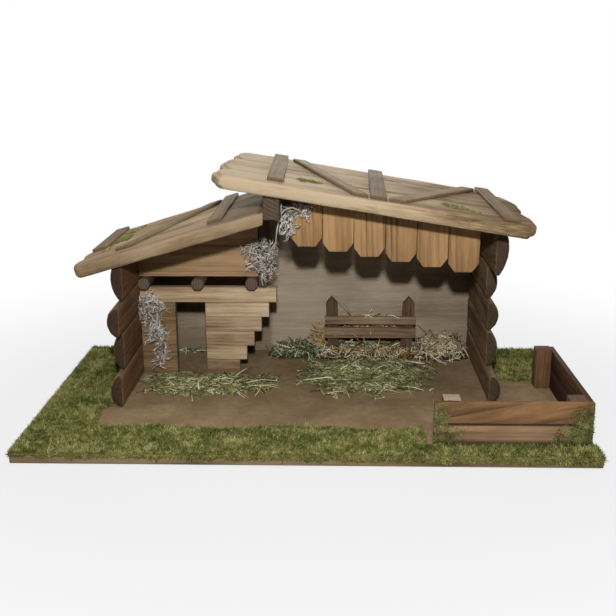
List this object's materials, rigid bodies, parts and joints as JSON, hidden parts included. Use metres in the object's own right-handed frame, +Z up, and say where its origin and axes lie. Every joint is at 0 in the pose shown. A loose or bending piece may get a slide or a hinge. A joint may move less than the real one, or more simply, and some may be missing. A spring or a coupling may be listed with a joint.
{
  "type": "wooden nativity stable",
  "caption": "Open-fronted wooden stable on a grassed board, with stacked half-log walls, two plank roofs, a small chamber, a hay manger and a fenced pen.",
  "frame": {"origin": "centre of the base board's underside", "axes": "+X to the right along the board's long side as seen from the open front, +Y to the back panel, +Z up"},
  "size_m": [0.6, 0.34, 0.2806],
  "materials": {
    "base_wood": "raw board edge, brown",
    "earth": "sifted brown earth and sawdust glued down, matte",
    "turf": "olive grass flock, rough",
    "left_log_wood": "reddish brown stained slab, bark side dark",
    "right_log_wood": "very dark brown stained slab",
    "panel_wood": "grey brown thin panel",
    "lath_wood": "planed pine lath with clear grain",
    "gable_wood": "warm pine board with fine level grain",
    "joist_wood": "dark round rod",
    "beam_wood": "dark stained beam",
    "plank_wood": "tan weathered plank with rounded edges",
    "batten_wood": "grey brown batten",
    "shingle_wood": "honey coloured pine",
    "front_rail_wood": "reddish brown rail with flamed grain",
    "fence_wood": "brown stained rail and post",
    "manger_wood": "grey brown stained lath",
    "hay": "dry hay and straw",
    "lichen": "dried pale grey lichen"
  },
  "bodies": {
    "root": {"back_panel": "panel_wood", "base_board": "base_wood", "chamber_header": "lath_wood", "chamber_lath_1": "lath_wood", "chamber_lath_2": "lath_wood", "chamber_lath_3": "lath_wood", "chamber_lath_4": "lath_wood", "chamber_lath_5": "lath_wood", "door_jamb_laths": "lath_wood", "earth_floor": "earth", "fascia_rail": "lath_wood", "fence_front_rail_1": "front_rail_wood", "fence_front_rail_2": "front_rail_wood", "fence_posts": "fence_wood", "fence_side_rail_1": "fence_wood", "fence_side_rail_2": "fence_wood", "gable_board": "gable_wood", "hay_heaps": "hay", "hay_mats": "hay", "left_roof_batten_1": "batten_wood", "left_roof_batten_2": "batten_wood", "left_roof_brace": "batten_wood", "left_roof_plank_1": "plank_wood", "left_roof_plank_2": "plank_wood", "left_roof_plank_3": "plank_wood", "left_wall_log_1": "left_log_wood", "left_wall_log_2": "left_log_wood", "left_wall_log_3": "left_log_wood", "left_wall_log_4": "left_log_wood", "lichen_tufts": "lichen", "loft_joists": "joist_wood", "manger_hay": "hay", "manger_lower_rail": "manger_wood", "manger_stakes": "manger_wood", "manger_upper_rail": "manger_wood", "ridge_beam": "beam_wood", "ridge_post": "beam_wood", "right_roof_batten_1": "batten_wood", "right_roof_batten_2": "batten_wood", "right_roof_batten_3": "batten_wood", "right_roof_brace_1": "batten_wood", "right_roof_brace_2": "batten_wood", "right_roof_plank_1": "plank_wood", "right_roof_plank_2": "plank_wood", "right_roof_plank_3": "plank_wood", "right_wall_log_1": "right_log_wood", "right_wall_log_2": "right_log_wood", "right_wall_log_3": "right_log_wood", "right_wall_log_4": "right_log_wood", "right_wall_log_5": "right_log_wood", "shingle_1": "shingle_wood", "shingle_2": "shingle_wood", "shingle_3": "shingle_wood", "shingle_4": "shingle_wood", "shingle_5": "shingle_wood", "shingle_6": "shingle_wood", "turf_front": "turf", "turf_left": "turf", "turf_right": "turf"}
  },
  "joints": []
}
